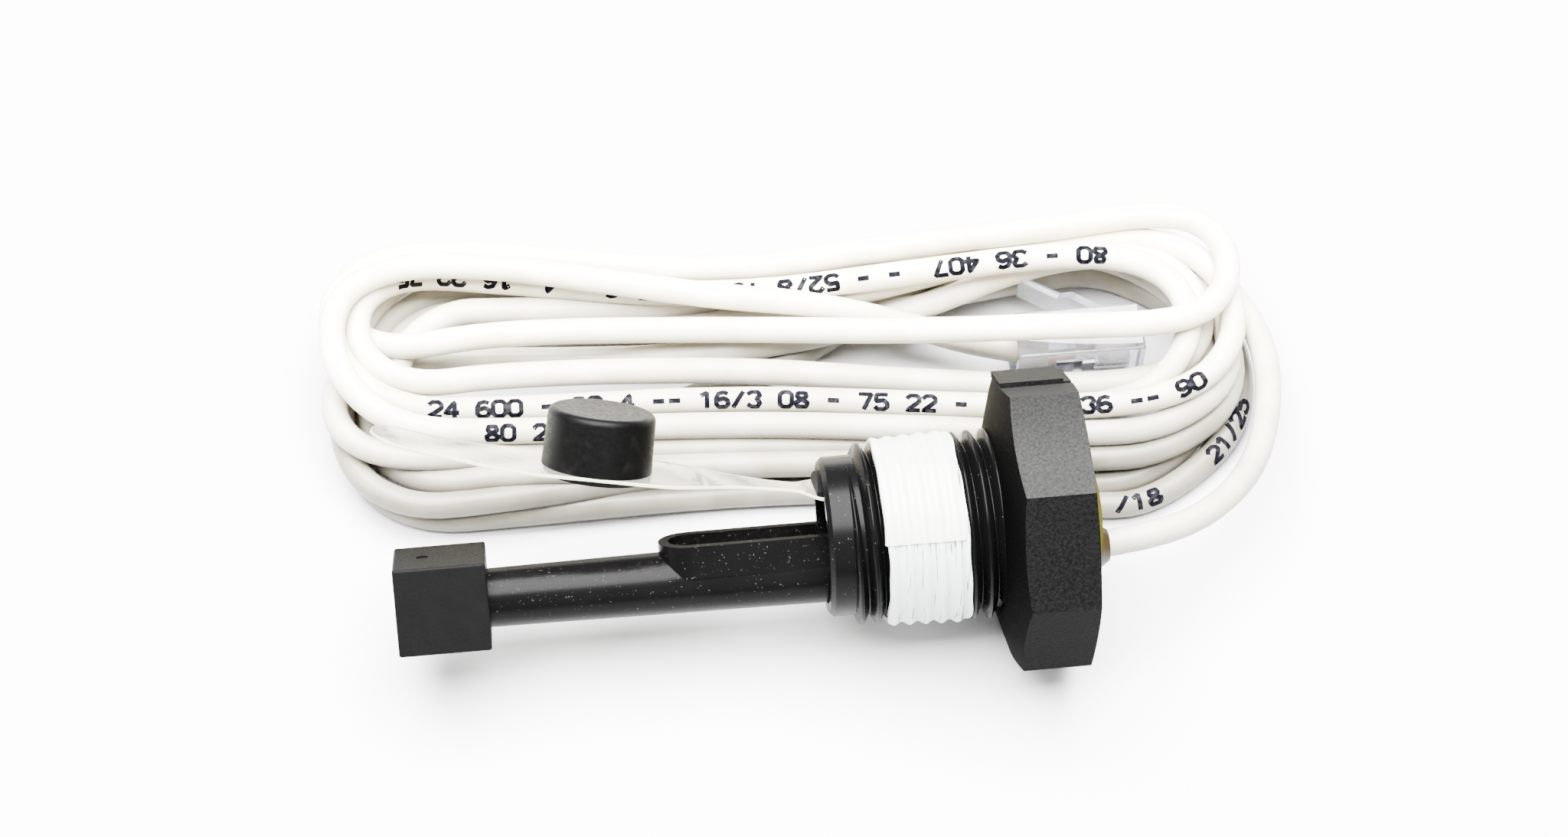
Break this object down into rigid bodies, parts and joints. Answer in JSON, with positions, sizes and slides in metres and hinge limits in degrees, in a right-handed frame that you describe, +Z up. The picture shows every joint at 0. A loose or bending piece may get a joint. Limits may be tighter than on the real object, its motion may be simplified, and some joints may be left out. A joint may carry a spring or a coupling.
{
  "type": "flow_switch",
  "caption": "Paddle flow switch with an octagonal head, tapered pipe thread, film strip with a magnet cap, reed switch stem, and a hank of cable ending in a modular plug.",
  "frame": {"origin": "on the floor under the middle of the switch without its cable, midway along its length", "axes": "+X along the pipe thread from the stem's end block to the cable exit, +Z up, +Y away from the viewer towards the hank"},
  "size_m": [0.1155, 0.0669, 0.0318],
  "materials": {
    "body_black": "satin",
    "block_black": "matte",
    "cap_black": "satin",
    "tape_white": "satin",
    "epoxy_yellow": "gloss",
    "glue_brown": "gloss",
    "film_clear": "clear",
    "magnet_grey": "satin",
    "reed_glass": "clear",
    "reed_metal": "satin",
    "wire_red": "satin",
    "wire_black": "satin",
    "cable_white": "satin",
    "plug_clear": "clear",
    "contact_gold": "polished"
  },
  "bodies": {
    "housing": {"switch_body": "body_black", "stem_end_block": "block_black", "thread_tape": "tape_white", "potting_fill": "epoxy_yellow", "exit_bead": "glue_brown", "strip_clamp": "body_black", "reed_capsule": "reed_glass", "reed_blade_far": "reed_metal", "reed_blade_near": "reed_metal", "reed_wire_short": "wire_red", "reed_wire_long": "wire_black", "cable_lead": "cable_white", "cable_hank": "cable_white", "cable_tail": "cable_white", "plug_housing": "plug_clear", "plug_conductor_lower": "wire_red", "plug_conductor_upper": "wire_black", "plug_contact_1": "contact_gold", "plug_contact_2": "contact_gold", "plug_contact_3": "contact_gold", "plug_contact_4": "contact_gold"},
    "paddle": {"paddle_strip": "film_clear", "magnet_cap": "cap_black", "cap_base": "cap_black", "magnet": "magnet_grey"},
    "latch": {"plug_latch": "plug_clear"}
  },
  "joints": [
    {"name": "paddle_swing", "type": "hinge", "parent": "housing", "child": "paddle", "pos_m": [0.00854, 0.00389, 0.01976], "axis": [0, 0.7071, -0.7071], "range_deg": [-15, 12], "stiffness_Nm_per_rad": 0.04, "deforming": ["paddle_strip"]},
    {"name": "plug_latch_press", "type": "hinge", "parent": "housing", "child": "latch", "pos_m": [0.04634, 0.03325, 0.00483], "axis": [0, 0, 1], "range_deg": [0, 25], "stiffness_Nm_per_rad": 0.02}
  ]
}
